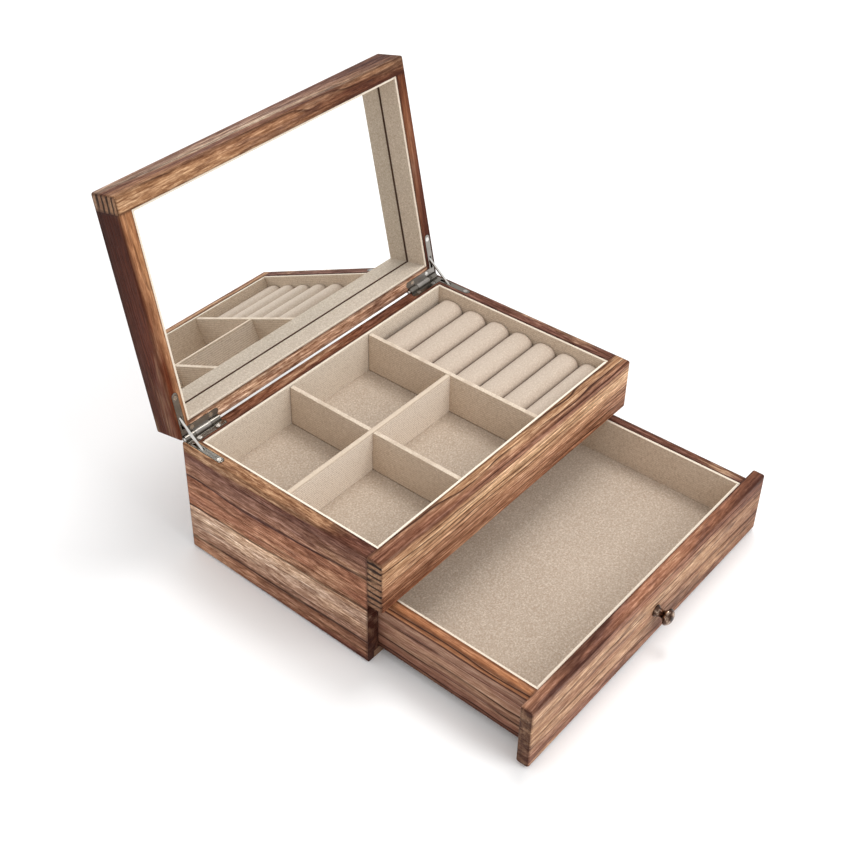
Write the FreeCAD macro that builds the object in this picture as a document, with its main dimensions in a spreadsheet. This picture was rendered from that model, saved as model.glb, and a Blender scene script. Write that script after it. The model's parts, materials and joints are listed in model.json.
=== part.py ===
import FreeCAD, Part
import math
import os
import re
import Sketcher

# A two-level wooden jewelry box. X runs across the width, the front faces -Y and Z is up. The
# origin is on the table, under the middle of the case. The lid stands open on its stays and the
# drawer is pulled part of the way out, and both are placed from their closed positions.

doc = FreeCAD.newDocument("jewelry_box")

# Driving dimensions, in millimetres, degrees and counts
SIZES = {
    # Case boards
    "case_width": 260,
    "case_depth": 168,
    "case_height": 89,
    "wall_thick": 9.6,
    "rail_thick": 11.4,
    "rail_height": 39.4,
    "back_thick": 8.6,
    "edge_round": 1.6,
    # Base panel, let into rabbets along the walls' lower inner edges
    "base_thick": 5.5,
    "base_rabbet": 4,
    # Tray floor panel, let into grooves, and the linen-covered boards of the tray
    "tray_depth": 32.6,
    "tray_floor_thick": 3,
    "tray_floor_groove": 4,
    "lining_thick": 1.8,
    "lining_drop": 0.4,
    "floor_lining_thick": 1.2,
    "divider_thick": 3.2,
    "divider_drop": 1.2,
    "lap_play": 0.1,
    # Ring rolls
    "roll_count": 7,
    "roll_gap": 0.4,
    "roll_back_gap": 2.4,
    "roll_squeeze": 1.8,
    "roll_end_gap": 0.3,
    "roll_height": 25,
    "roll_foot_draw": 1.4,
    "roll_end_draw": 1.2,
    "roll_end_length": 3.5,
    "roll_shoulder_draw": 0.15,
    # Lid
    "lid_height": 23.5,
    "lid_front_thick": 11.7,
    "lid_side_thick": 9.6,
    "lid_back_thick": 9.6,
    "lid_panel_thick": 4,
    "lid_panel_rabbet": 4,
    "mirror_thick": 2,
    "mirror_gap": 0.5,
    "lid_gap": 1,
    "lid_angle": 102,
    # Hinges
    "hinge_offset": 0.5,
    "knuckle_radius": 2.5,
    "knuckle_gap": 0.3,
    "outer_knuckle": 8,
    "barrel_length": 30,
    "barrel_inset": 3.2,
    "pin_radius": 0.9,
    "pin_play": 0.05,
    "leaf_thick": 1.2,
    "leaf_inset": 2.4,
    "leaf_play": 0.3,
    "side_arm_width": 4.6,
    "side_arm_length": 33.5,
    "back_arm_width": 4.4,
    "back_arm_length": 32,
    "side_screw_reach": 30,
    "back_screw_reach": 5,
    "near_screw": 11.6,
    "far_screw": 27.8,
    # Hinge screws
    "screw_head_radius": 1.6,
    "screw_shank_radius": 0.8,
    "screw_length": 9,
    "screw_play": 0.03,
    # Lid stays
    "stay_reach": 7.8,
    "stay_width": 1.5,
    "stay_thick": 1.4,
    "stay_head_start": 13.6,
    "stay_head_length": 1.8,
    "stay_head_width": 3.6,
    "stay_play": 0.5,
    "stay_slot_end": 16.2,
    "stay_pocket_end": 18.4,
    # Drawer
    "drawer_pull": 110,
    "drawer_front_thick": 8.6,
    "drawer_front_gap": 0.6,
    "drawer_top_gap": 1.6,
    "drawer_ground_gap": 1,
    "drawer_side_thick": 6.4,
    "drawer_side_drop": 1.2,
    "drawer_play": 0.6,
    "drawer_floor_gap": 1.2,
    "drawer_back_gap": 1,
    "drawer_bottom_thick": 3,
    "drawer_bottom_groove": 3,
    "drawer_bottom_rise": 5,
    # Knob
    "knob_height": 24.8,
    "knob_length": 11.8,
    "knob_foot_radius": 4,
    "knob_neck_radius": 2.5,
    "knob_head_radius": 5.7,
    "knob_foot_thick": 1,
    "knob_neck_reach": 4.6,
    "knob_rim_reach": 7.8,
    "knob_rim_thick": 1.4,
    "knob_crown_radius": 3.8,
    "knob_bore_depth": 6,
    "knob_screw_radius": 1.7,
    "knob_screw_head_radius": 3.6,
    "knob_screw_head_thick": 2.4,
}

# Places that follow from the driving dimensions
PLACES = {
    "half_width": "case_width / 2",
    "front_face": "-case_depth / 2",
    "back_face": "case_depth / 2",
    "rail_inside": "front_face + rail_thick",
    "back_inside": "back_face - back_thick",
    "rail_bottom": "case_height - rail_height",
    "inner_width": "case_width - 2 * wall_thick",
    "inner_depth": "case_depth - rail_thick - back_thick",
    "tray_bottom": "case_height - tray_depth",
    "tray_panel_top": "tray_bottom - floor_lining_thick",
    "tray_panel_low": "tray_panel_top - tray_floor_thick",
    "lining_height": "tray_depth - lining_drop",
    "tray_width": "inner_width - 2 * lining_thick",
    "tray_length": "inner_depth - 2 * lining_thick",
    "tray_left": "-tray_width / 2",
    "tray_front": "rail_inside + lining_thick",
    "bay_width": "(tray_width - 2 * divider_thick) / 3",
    "divider_height": "tray_depth - divider_drop",
    "long_divider_left": "tray_left + bay_width",
    "ring_divider_left": "tray_left + 2 * bay_width + divider_thick",
    "cross_divider_front": "tray_front + (tray_length - divider_thick) / 2",
    "hinge_axis_y": "back_face + hinge_offset",
    "hinge_axis_z": "case_height + lid_gap / 2",
    "lid_rim": "lid_gap / 2",
    "lid_top": "lid_rim + lid_height",
    "lid_panel_low": "lid_top - lid_panel_thick",
    "mirror_face": "lid_panel_low - mirror_thick",
    "lid_back": "-hinge_offset",
    "lid_front": "lid_back - case_depth",
    "lid_back_inside": "lid_back - lid_back_thick",
    "lid_front_inside": "lid_front + lid_front_thick",
    "lid_inner_width": "case_width - 2 * lid_side_thick",
    "lid_inner_depth": "lid_back_inside - lid_front_inside",
    "lid_lining_height": "mirror_face - mirror_gap - lid_rim - lining_drop",
    "stay_half_length": "stay_head_start + stay_head_length",
    "pocket_width": "stay_head_width + stay_play",
    "arm_middle": "leaf_inset + side_arm_width / 2",
    "leaf_back": "knuckle_radius + knuckle_gap",
    "leaf_front": "leaf_back + back_arm_width",
    "back_arm_end": "leaf_inset + back_arm_length - back_arm_width / 2",
    "drawer_front_back": "rail_inside - drawer_front_gap",
    "drawer_face": "drawer_front_back - drawer_front_thick",
    "drawer_top": "rail_bottom - drawer_top_gap",
    "drawer_low": "base_thick + drawer_floor_gap",
    "drawer_side_height": "drawer_top - drawer_side_drop - drawer_low",
    "drawer_end": "back_inside - drawer_back_gap",
    "drawer_side_inset": "wall_thick + drawer_play",
    "drawer_inner_width": "case_width - 2 * (drawer_side_inset + drawer_side_thick)",
    "drawer_back_inside": "drawer_end - drawer_side_thick",
    "drawer_inner_length": "drawer_back_inside - drawer_front_back",
    "drawer_panel_low": "drawer_low + drawer_bottom_rise",
    "drawer_panel_top": "drawer_panel_low + drawer_bottom_thick",
    "drawer_floor": "drawer_panel_top + floor_lining_thick",
    "drawer_lining_height": "drawer_low + drawer_side_height - lining_drop - drawer_floor",
    "counterbore_depth": "knob_screw_head_thick + screw_play",
}

sheet = doc.addObject("Spreadsheet::Sheet", "Sizes")
for row, (alias, number) in enumerate(SIZES.items(), start=1):
    sheet.set(f"A{row}", alias)
    sheet.set(f"B{row}", str(number))
    sheet.setAlias(f"B{row}", alias)
doc.recompute()


def bound(text):
    """An expression on the sheet's cells, from text written with sizes and places by name."""
    def swap(found):
        name = found.group(0)
        if name in PLACES:
            return "(" + bound(PLACES[name]) + ")"
        if name in SIZES:
            return "Sizes." + name
        return name
    return re.sub(r"[a-z_]+", swap, str(text))


def bind(thing, **settings):
    """Bind properties to expressions; x, y and z stand for the placement's base."""
    for name, text in settings.items():
        path = "Placement.Base." + name if name in ("x", "y", "z") else name
        thing.setExpression(path, bound(text))


AXIS_TURN = {
    "x": FreeCAD.Rotation(FreeCAD.Vector(0, 1, 0), 90),
    "y": FreeCAD.Rotation(FreeCAD.Vector(1, 0, 0), -90),
    "z": FreeCAD.Rotation(),
}

sub_parts = []


def pose(thing, body):
    """Stand a sub-part in the case, on the hinge axis, on the turning lid, or in the drawer."""
    sub_parts.append(thing)
    if body == "drawer":
        bind(thing, y="-drawer_pull")
    if body == "hinge":
        bind(thing, y="hinge_axis_y", z="hinge_axis_z")
    if body in ("lid", "stay"):
        share = 1 if body == "lid" else 0.5
        turned_back = FreeCAD.Rotation(FreeCAD.Vector(1, 0, 0), -90)
        thing.Placement = FreeCAD.Placement(FreeCAD.Vector(), turned_back)
        bind(thing, y="hinge_axis_y", z="hinge_axis_z")
        bind(thing, **{"Placement.Rotation.Angle": f"-lid_angle * {share}"})
    return thing


def piece(label, body="case"):
    made = doc.addObject("PartDesign::Body", label)
    made.Label = label
    return pose(made, body)


def block(body, corner, size, cut=False):
    """A rectangular block, added to the piece or cut from it."""
    kind = "PartDesign::SubtractiveBox" if cut else "PartDesign::AdditiveBox"
    made = body.newObject(kind, body.Label + "_block")
    bind(made, x=corner[0], y=corner[1], z=corner[2])
    bind(made, Length=size[0], Width=size[1], Height=size[2])
    return made


def rod(body, axis, start, radius, length, cut=False):
    """A round rod along one axis, added to the piece or cut from it."""
    kind = "PartDesign::SubtractiveCylinder" if cut else "PartDesign::AdditiveCylinder"
    made = body.newObject(kind, body.Label + "_rod")
    made.Placement = FreeCAD.Placement(FreeCAD.Vector(), AXIS_TURN[axis])
    bind(made, x=start[0], y=start[1], z=start[2])
    bind(made, Radius=radius, Height=length)
    return made


def on_side(shape, edge, corner):
    """Whether an edge lies along the named sides of the shape's box, such as x- and z+."""
    touching = 0.001
    outer = shape.BoundBox
    inner = edge.BoundBox
    sides = {
        "x-": inner.XMax - outer.XMin,
        "x+": outer.XMax - inner.XMin,
        "y-": inner.YMax - outer.YMin,
        "y+": outer.YMax - inner.YMin,
        "z-": inner.ZMax - outer.ZMin,
        "z+": outer.ZMax - inner.ZMin,
    }
    return all(sides[side] < touching for side in corner)


def soften(body, *corners):
    """Round the block's edges that run along the named corners."""
    doc.recompute()
    last = body.Tip
    shape = last.Shape
    names = []
    for number, edge in enumerate(shape.Edges, start=1):
        if any(on_side(shape, edge, corner) for corner in corners):
            names.append(f"Edge{number}")
    rounded = body.newObject("PartDesign::Fillet", body.Label + "_round")
    rounded.Base = (last, names)
    bind(rounded, Radius="edge_round")
    return rounded


def turned(body, points):
    """A turned solid about the piece's Y axis; each point is a radius and a place along Y."""
    sketch = body.newObject("Sketcher::SketchObject", body.Label + "_sketch")
    plane = [part for part in body.Origin.OriginFeatures if part.Role == "XY_Plane"][0]
    sketch.AttachmentSupport = [(plane, "")]
    sketch.MapMode = "FlatFace"
    count = len(points)
    rough = [FreeCAD.Vector(math.cos(number), math.sin(number), 0) for number in range(count)]
    for number in range(count):
        sketch.addGeometry(Part.LineSegment(rough[number], rough[(number + 1) % count]), False)
    for number in range(count):
        sketch.addConstraint(Sketcher.Constraint("Coincident", number, 2, (number + 1) % count, 1))
    for number, place in enumerate(points):
        for kind, text in zip(("DistanceX", "DistanceY"), place):
            held = sketch.addConstraint(Sketcher.Constraint(kind, -1, 1, number, 1, 1))
            sketch.setExpression(f"Constraints[{held}]", bound(text))
    whole = body.newObject("PartDesign::Revolution", body.Label + "_turned")
    whole.Profile = sketch
    whole.ReferenceAxis = (sketch, ["V_Axis"])
    whole.Angle = 360


def across(side, inset, length):
    """Where a block starts along X, set in from the left or the right face of the box."""
    if side == "left":
        return f"{inset} - half_width"
    return f"half_width - ({inset}) - ({length})"


def middle(side, inset):
    """A point along X, set in from the left or the right face of the box."""
    return across(side, inset, "0")


SIDES = ("left", "right")
OUTER = {"left": "x-", "right": "x+"}


# Cuts that the case and the lid share, in places told from the hinge axis

def leaf_cuts(body, side, half, axis_y, axis_z, inner_side):
    """Mortise for a hinge leaf and its barrel, with the screws' holes and the stay's pocket."""
    depth = "leaf_thick"
    if half == "base":
        floor = f"{axis_z} - lid_rim - leaf_thick"
        hole = f"{axis_z} - lid_rim - screw_length - screw_play"
        pocket = f"{axis_z} - stay_half_length - stay_play"
    else:
        floor = f"{axis_z} + lid_rim"
        hole = f"{axis_z} + lid_rim"
        pocket = f"{axis_z} + lid_rim"
    hole_radius = "screw_shank_radius + screw_play"
    hole_depth = "screw_length + screw_play"
    wide = "side_arm_width + 2 * leaf_play"
    arm_length = "side_arm_length - side_arm_width / 2 - hinge_offset"
    if inner_side:
        arm_x = across(side, "leaf_inset - leaf_play", wide)
        arm_y = f"{axis_y} - side_arm_length + side_arm_width / 2"
        block(body, (arm_x, arm_y, floor), (wide, arm_length, depth), cut=True)
        round_end = (middle(side, "arm_middle"), arm_y, floor)
        rod(body, "z", round_end, "side_arm_width / 2 + leaf_play", depth, cut=True)
        screw_at = (middle(side, "arm_middle"), f"{axis_y} - side_screw_reach", hole)
        rod(body, "z", screw_at, hole_radius, hole_depth, cut=True)
        pocket_x = across(side, "arm_middle - pocket_width / 2", "pocket_width")
        pocket_start = "stay_reach - stay_thick / 2 - stay_play"
        pocket_size = ("pocket_width", f"stay_pocket_end - ({pocket_start})",
                       "stay_half_length + stay_play - lid_rim")
        block(body, (pocket_x, f"{axis_y} - stay_pocket_end", pocket), pocket_size, cut=True)
    else:
        for reach in ("near_screw", "far_screw"):
            screw_at = (middle(side, reach), f"{axis_y} - back_screw_reach", hole)
            rod(body, "z", screw_at, hole_radius, hole_depth, cut=True)
    straight = "back_arm_end - leaf_inset + leaf_play"
    back_x = across(side, "leaf_inset - leaf_play", straight)
    back_size = (straight, "leaf_front + leaf_play", depth)
    block(body, (back_x, f"{axis_y} - leaf_front - leaf_play", floor), back_size, cut=True)
    back_end = (middle(side, "back_arm_end"), f"{axis_y} - (leaf_front + leaf_back) / 2", floor)
    rod(body, "z", back_end, "back_arm_width / 2 + leaf_play", depth, cut=True)
    barrel = "barrel_length + 2 * knuckle_gap"
    barrel_x = across(side, "barrel_inset - knuckle_gap", barrel)
    block(body, (barrel_x, f"{axis_y} - leaf_back", floor), (barrel, "leaf_back", depth), cut=True)
    rod(body, "x", (barrel_x, axis_y, axis_z), "leaf_back", barrel, cut=True)


# Side walls: one board each, grooved for the tray floor and rabbeted for the base
for side in SIDES:
    wall = piece(f"{side}_wall")
    block(wall, (across(side, "0", "wall_thick"), "rail_inside", "0"),
          ("wall_thick", "case_depth - rail_thick", "case_height"))
    soften(wall, (OUTER[side], "z+"), (OUTER[side], "z-"), (OUTER[side], "y+"))
    groove_x = across(side, "wall_thick - tray_floor_groove", "tray_floor_groove")
    block(wall, (groove_x, "rail_inside", "tray_panel_low"),
          ("tray_floor_groove", "inner_depth + tray_floor_groove", "tray_floor_thick"), cut=True)
    rabbet_x = across(side, "wall_thick - base_rabbet", "base_rabbet")
    block(wall, (rabbet_x, "rail_inside", "0"),
          ("base_rabbet", "inner_depth + base_rabbet", "base_thick"), cut=True)
    leaf_cuts(wall, side, "base", "hinge_axis_y", "hinge_axis_z", True)

# Front rail: the upper front board, over the ends of the side walls
rail = piece("front_rail")
block(rail, ("-half_width", "front_face", "rail_bottom"), ("case_width", "rail_thick", "rail_height"))
soften(rail, ("y-",), ("x-", "z+"), ("x+", "z+"), ("x-", "z-"), ("x+", "z-"))
block(rail, ("-inner_width / 2 - tray_floor_groove", "rail_inside - tray_floor_groove", "tray_panel_low"),
      ("inner_width + 2 * tray_floor_groove", "tray_floor_groove", "tray_floor_thick"), cut=True)

# Back wall: between the side walls
back = piece("back_wall")
block(back, ("-inner_width / 2", "back_inside", "0"), ("inner_width", "back_thick", "case_height"))
block(back, ("-inner_width / 2", "back_inside", "tray_panel_low"),
      ("inner_width", "tray_floor_groove", "tray_floor_thick"), cut=True)
block(back, ("-inner_width / 2", "back_inside", "0"), ("inner_width", "base_rabbet", "base_thick"), cut=True)
for side in SIDES:
    leaf_cuts(back, side, "base", "hinge_axis_y", "hinge_axis_z", False)

# Base panel and tray floor panel
base = piece("base_panel")
block(base, ("-inner_width / 2 - base_rabbet", "rail_inside", "0"),
      ("inner_width + 2 * base_rabbet", "inner_depth + base_rabbet", "base_thick"))
tray = piece("tray_floor")
block(tray, ("-inner_width / 2 - tray_floor_groove", "rail_inside - tray_floor_groove", "tray_panel_low"),
      ("inner_width + 2 * tray_floor_groove", "inner_depth + 2 * tray_floor_groove", "tray_floor_thick"))

# Tray lining: a floor sheet and four linen-covered boards standing on it
sheet_floor = piece("tray_floor_lining")
block(sheet_floor, ("-inner_width / 2", "rail_inside", "tray_panel_top"),
      ("inner_width", "inner_depth", "floor_lining_thick"))
for side in SIDES:
    board = piece(f"tray_lining_{side}")
    block(board, (across(side, "wall_thick", "lining_thick"), "rail_inside", "tray_bottom"),
          ("lining_thick", "inner_depth", "lining_height"))
for end, start in (("front", "rail_inside"), ("back", "back_inside - lining_thick")):
    board = piece(f"tray_lining_{end}")
    block(board, ("tray_left", start, "tray_bottom"), ("tray_width", "lining_thick", "lining_height"))

# Dividers: the ring divider and the long divider run front to back, and the cross divider laps
# over the long one
ring_divider = piece("ring_divider")
block(ring_divider, ("ring_divider_left", "tray_front", "tray_bottom"),
      ("divider_thick", "tray_length", "divider_height"))
long_divider = piece("long_divider")
block(long_divider, ("long_divider_left", "tray_front", "tray_bottom"),
      ("divider_thick", "tray_length", "divider_height"))
lap_corner = ("long_divider_left", "cross_divider_front - lap_play", "tray_bottom + divider_height / 2")
lap_size = ("divider_thick", "divider_thick + 2 * lap_play", "divider_height / 2")
block(long_divider, lap_corner, lap_size, cut=True)
cross_divider = piece("cross_divider")
block(cross_divider, ("tray_left", "cross_divider_front", "tray_bottom"),
      ("2 * bay_width + divider_thick", "divider_thick", "divider_height"))
block(cross_divider, ("long_divider_left - lap_play", "cross_divider_front", "tray_bottom"),
      ("divider_thick + 2 * lap_play", "divider_thick", "divider_height / 2"), cut=True)


# Ring rolls: foam rolls in linen, flat underneath, drawn in at the foot and at the ends, and squeezed
# narrower one by one towards the front

def roll_section(along, width, height, foot):
    """One section of a roll, standing on the tray floor: flat foot, bulging sides, round crown."""
    shoulder = height - width / 2
    left_foot = FreeCAD.Vector(along, foot - width / 2, 0)
    right_foot = FreeCAD.Vector(along, width / 2 - foot, 0)
    right_side = FreeCAD.Vector(along, width / 2, shoulder / 2)
    left_side = FreeCAD.Vector(along, -width / 2, shoulder / 2)
    right_shoulder = FreeCAD.Vector(along, width / 2 - sheet.roll_shoulder_draw, shoulder)
    left_shoulder = FreeCAD.Vector(along, sheet.roll_shoulder_draw - width / 2, shoulder)
    crown = FreeCAD.Vector(along, 0, height)
    return Part.Wire([
        Part.LineSegment(left_foot, right_foot).toShape(),
        Part.Arc(right_foot, right_side, right_shoulder).toShape(),
        Part.Arc(right_shoulder, crown, left_shoulder).toShape(),
        Part.Arc(left_shoulder, left_side, left_foot).toShape(),
    ])


tray_width = sheet.case_width - 2 * (sheet.wall_thick + sheet.lining_thick)
bay = (tray_width - 2 * sheet.divider_thick) / 3
tray_length = sheet.case_depth - sheet.rail_thick - sheet.back_thick - 2 * sheet.lining_thick
roll_pitch = (tray_length - sheet.roll_back_gap) / sheet.roll_count
roll_length = bay - 2 * sheet.roll_end_gap
roll_start = tray_width / 2 - bay + sheet.roll_end_gap
tray_front = sheet.rail_thick + sheet.lining_thick - sheet.case_depth / 2
roll_back = tray_front + sheet.roll_count * roll_pitch
for number in range(int(sheet.roll_count)):
    roll_room = roll_pitch + sheet.roll_squeeze * (1 - 2 * number / max(sheet.roll_count - 1, 1))
    sections = []
    for along, draw in (
        (0, sheet.roll_end_draw),
        (sheet.roll_end_length / 3, sheet.roll_end_draw / 3),
        (sheet.roll_end_length, 0),
        (roll_length - sheet.roll_end_length, 0),
        (roll_length - sheet.roll_end_length / 3, sheet.roll_end_draw / 3),
        (roll_length, sheet.roll_end_draw),
    ):
        drawn = (roll_room - sheet.roll_gap - 2 * draw, sheet.roll_height - draw)
        sections.append(roll_section(along, *drawn, sheet.roll_foot_draw))
    roll = doc.addObject("Part::Feature", f"ring_roll_{number + 1}")
    roll.Shape = Part.makeLoft(sections, True, True)
    roll_middle = roll_back - roll_room / 2
    roll.Placement = FreeCAD.Placement(
        FreeCAD.Vector(roll_start, roll_middle, sheet.case_height - sheet.tray_depth), FreeCAD.Rotation())
    sub_parts.append(roll)
    roll_back -= roll_room

# Lid: a front bar over the ends of two side bars, a back bar between them, and a panel on top
lid_front = piece("lid_front_bar", "lid")
block(lid_front, ("-half_width", "lid_front", "lid_rim"), ("case_width", "lid_front_thick", "lid_height"))
soften(lid_front, ("y-",), ("x-", "z+"), ("x+", "z+"), ("x-", "z-"), ("x+", "z-"))
lid_back = piece("lid_back_bar", "lid")
block(lid_back, ("-lid_inner_width / 2", "lid_back_inside", "lid_rim"),
      ("lid_inner_width", "lid_back_thick", "lid_height"))
soften(lid_back, ("y+", "z+"))
lid_bars = [lid_front, lid_back]
for side in SIDES:
    leaf_cuts(lid_back, side, "lid", "0", "0", False)
    bar = piece(f"lid_{side}_bar", "lid")
    block(bar, (across(side, "0", "lid_side_thick"), "lid_front_inside", "lid_rim"),
          ("lid_side_thick", "case_depth - lid_front_thick", "lid_height"))
    soften(bar, (OUTER[side], "z+"), (OUTER[side], "z-"), (OUTER[side], "y+"), ("y+", "z+"))
    leaf_cuts(bar, side, "lid", "0", "0", True)
    lid_bars.append(bar)
panel_corner = ("-lid_inner_width / 2 - lid_panel_rabbet", "lid_front_inside - lid_panel_rabbet",
                "lid_panel_low")
panel_size = ("lid_inner_width + 2 * lid_panel_rabbet", "lid_inner_depth + 2 * lid_panel_rabbet",
              "lid_panel_thick")
for bar in lid_bars:
    block(bar, panel_corner, panel_size, cut=True)
lid_panel = piece("lid_panel", "lid")
block(lid_panel, panel_corner, panel_size)

# Mirror under the panel, and the linen-covered boards that frame it
mirror = piece("mirror", "lid")
block(mirror, ("mirror_gap - lid_inner_width / 2", "lid_front_inside + mirror_gap", "mirror_face"),
      ("lid_inner_width - 2 * mirror_gap", "lid_inner_depth - 2 * mirror_gap", "mirror_thick"))
for side in SIDES:
    board = piece(f"lid_lining_{side}", "lid")
    lining_x = across(side, "lid_side_thick", "lining_thick")
    block(board, (lining_x, "lid_front_inside", "lid_rim + lining_drop"),
          ("lining_thick", "lid_inner_depth", "lid_lining_height"))
for end, start in (("front", "lid_front_inside"), ("back", "lid_back_inside - lining_thick")):
    board = piece(f"lid_lining_{end}", "lid")
    block(board, ("lining_thick - lid_inner_width / 2", start, "lid_rim + lining_drop"),
          ("lid_inner_width - 2 * lining_thick", "lining_thick", "lid_lining_height"))


# Hinges: each leaf has an arm along the side and one along the back, let in flush, and knuckles
# that share a barrel along the back edge. The base leaf has the two outer knuckles.

def countersink(body, x, y, half):
    """A screw hole through a leaf, opened to a cone for the screw's head."""
    low = "-lid_rim - leaf_thick" if half == "base" else "lid_rim"
    made = body.newObject("PartDesign::SubtractiveCone", body.Label + "_sink")
    narrow = "screw_shank_radius + screw_play"
    wide = "screw_head_radius + screw_play"
    ends = (narrow, wide) if half == "base" else (wide, narrow)
    bind(made, x=x, y=y, z=low, Radius1=ends[0], Radius2=ends[1], Height="leaf_thick")


def hinge_leaf(side, half):
    leaf = piece(f"{side}_{half}_hinge_leaf", "hinge" if half == "base" else "lid")
    low = "-lid_rim - leaf_thick" if half == "base" else "lid_rim"
    straight = "back_arm_end - leaf_inset"
    block(leaf, (across(side, "leaf_inset", straight), "-leaf_front", low),
          (straight, "back_arm_width", "leaf_thick"))
    back_end = (middle(side, "back_arm_end"), "-(leaf_front + leaf_back) / 2", low)
    rod(leaf, "z", back_end, "back_arm_width / 2", "leaf_thick")
    arm_y = "side_arm_width / 2 - side_arm_length"
    block(leaf, (across(side, "leaf_inset", "side_arm_width"), arm_y, low),
          ("side_arm_width", f"-leaf_back - ({arm_y})", "leaf_thick"))
    rod(leaf, "z", (middle(side, "arm_middle"), arm_y, low), "side_arm_width / 2", "leaf_thick")
    first = "barrel_inset"
    last = "barrel_inset + barrel_length - outer_knuckle"
    if half == "base":
        knuckles = ((first, "outer_knuckle"), (last, "outer_knuckle"))
    else:
        inner = "barrel_length - 2 * (outer_knuckle + knuckle_gap)"
        knuckles = (("barrel_inset + outer_knuckle + knuckle_gap", inner),)
    for inset, length in knuckles:
        start = across(side, inset, length)
        tab = "leaf_back - pin_radius - pin_play"
        block(leaf, (start, "-leaf_back", low), (length, tab, "leaf_thick"))
        rod(leaf, "x", (start, "0", "0"), "knuckle_radius", length)
    bore_length = "barrel_length + 2 * knuckle_gap"
    bore_start = across(side, "barrel_inset - knuckle_gap", bore_length)
    rod(leaf, "x", (bore_start, "0", "0"), "pin_radius + pin_play", bore_length, cut=True)
    slot = "stay_width + 2 * leaf_play"
    slot_length = "stay_slot_end - stay_reach + stay_thick / 2 + leaf_play"
    block(leaf, (across(side, f"arm_middle - ({slot}) / 2", slot), "-stay_slot_end", low),
          (slot, slot_length, "leaf_thick"), cut=True)
    countersink(leaf, middle(side, "arm_middle"), "-side_screw_reach", half)
    for reach in ("near_screw", "far_screw"):
        countersink(leaf, middle(side, reach), "-back_screw_reach", half)


def screw(name, x, y, half):
    """A countersunk screw, its head flush with the leaf, told from the hinge axis."""
    shank = doc.addObject("Part::Cylinder", name + "_shank")
    head = doc.addObject("Part::Cone", name + "_head")
    if half == "base":
        bind(shank, x=x, y=y, z="-lid_rim - screw_length")
        bind(head, x=x, y=y, z="-lid_rim - leaf_thick")
        bind(head, Radius1="screw_shank_radius", Radius2="screw_head_radius")
    else:
        bind(shank, x=x, y=y, z="lid_rim")
        bind(head, x=x, y=y, z="lid_rim", Radius1="screw_head_radius", Radius2="screw_shank_radius")
    bind(shank, Radius="screw_shank_radius", Height="screw_length")
    bind(head, Height="leaf_thick")
    whole = doc.addObject("Part::Fuse", name)
    whole.Base = shank
    whole.Tool = head
    return whole


for half in ("base", "lid"):
    screws = []
    for side in SIDES:
        hinge_leaf(side, half)
        places = [("arm_middle", "side_screw_reach")]
        places += [(reach, "back_screw_reach") for reach in ("near_screw", "far_screw")]
        for number, (inset, reach) in enumerate(places):
            screws.append(screw(f"{side}_{half}_screw_{number}", middle(side, inset), f"-{reach}", half))
    group = doc.addObject("Part::Compound", f"{half}_hinge_screws")
    group.Links = screws
    pose(group, "hinge" if half == "base" else "lid")

# Hinge pins, held in the base knuckles, and the stays, which run through slots in both leaves
# and turn half as far as the lid
for side in SIDES:
    pin = piece(f"{side}_hinge_pin", "hinge")
    rod(pin, "x", (across(side, "barrel_inset", "barrel_length"), "0", "0"), "pin_radius", "barrel_length")
    stay = piece(f"{side}_stay", "stay")
    near = "-stay_reach - stay_thick / 2"
    block(stay, (across(side, "arm_middle - stay_width / 2", "stay_width"), near, "-stay_half_length"),
          ("stay_width", "stay_thick", "2 * stay_half_length"))
    head_x = across(side, "arm_middle - stay_head_width / 2", "stay_head_width")
    for low in ("-stay_half_length", "stay_head_start"):
        block(stay, (head_x, near, low), ("stay_head_width", "stay_thick", "stay_head_length"))

# Drawer: a full-width front, two sides, a back between them and a bottom in grooves
panel_corner = ("-drawer_inner_width / 2 - drawer_bottom_groove", "drawer_front_back - drawer_bottom_groove",
                "drawer_panel_low")
panel_size = ("drawer_inner_width + 2 * drawer_bottom_groove",
              "drawer_inner_length + 2 * drawer_bottom_groove", "drawer_bottom_thick")
drawer_front = piece("drawer_front", "drawer")
block(drawer_front, ("-half_width", "drawer_face", "drawer_ground_gap"),
      ("case_width", "drawer_front_thick", "drawer_top - drawer_ground_gap"))
soften(drawer_front, ("y-",), ("y+",), ("x-",), ("x+",))
drawer_boards = [drawer_front]
for side in SIDES:
    board = piece(f"drawer_{side}_side", "drawer")
    block(board, (across(side, "drawer_side_inset", "drawer_side_thick"), "drawer_front_back", "drawer_low"),
          ("drawer_side_thick", "drawer_end - drawer_front_back", "drawer_side_height"))
    drawer_boards.append(board)
drawer_back = piece("drawer_back", "drawer")
block(drawer_back, ("-drawer_inner_width / 2", "drawer_back_inside", "drawer_low"),
      ("drawer_inner_width", "drawer_side_thick", "drawer_side_height"))
drawer_boards.append(drawer_back)
for board in drawer_boards:
    block(board, panel_corner, panel_size, cut=True)
drawer_bottom = piece("drawer_bottom", "drawer")
block(drawer_bottom, panel_corner, panel_size)

# Drawer lining
drawer_sheet = piece("drawer_floor_lining", "drawer")
block(drawer_sheet, ("-drawer_inner_width / 2", "drawer_front_back", "drawer_panel_top"),
      ("drawer_inner_width", "drawer_inner_length", "floor_lining_thick"))
for side in SIDES:
    board = piece(f"drawer_lining_{side}", "drawer")
    lining_x = across(side, "drawer_side_inset + drawer_side_thick", "lining_thick")
    block(board, (lining_x, "drawer_front_back", "drawer_floor"),
          ("lining_thick", "drawer_inner_length", "drawer_lining_height"))
for end, start in (("front", "drawer_front_back"), ("back", "drawer_back_inside - lining_thick")):
    board = piece(f"drawer_lining_{end}", "drawer")
    block(board, ("lining_thick - drawer_inner_width / 2", start, "drawer_floor"),
          ("drawer_inner_width - 2 * lining_thick", "lining_thick", "drawer_lining_height"))

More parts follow.
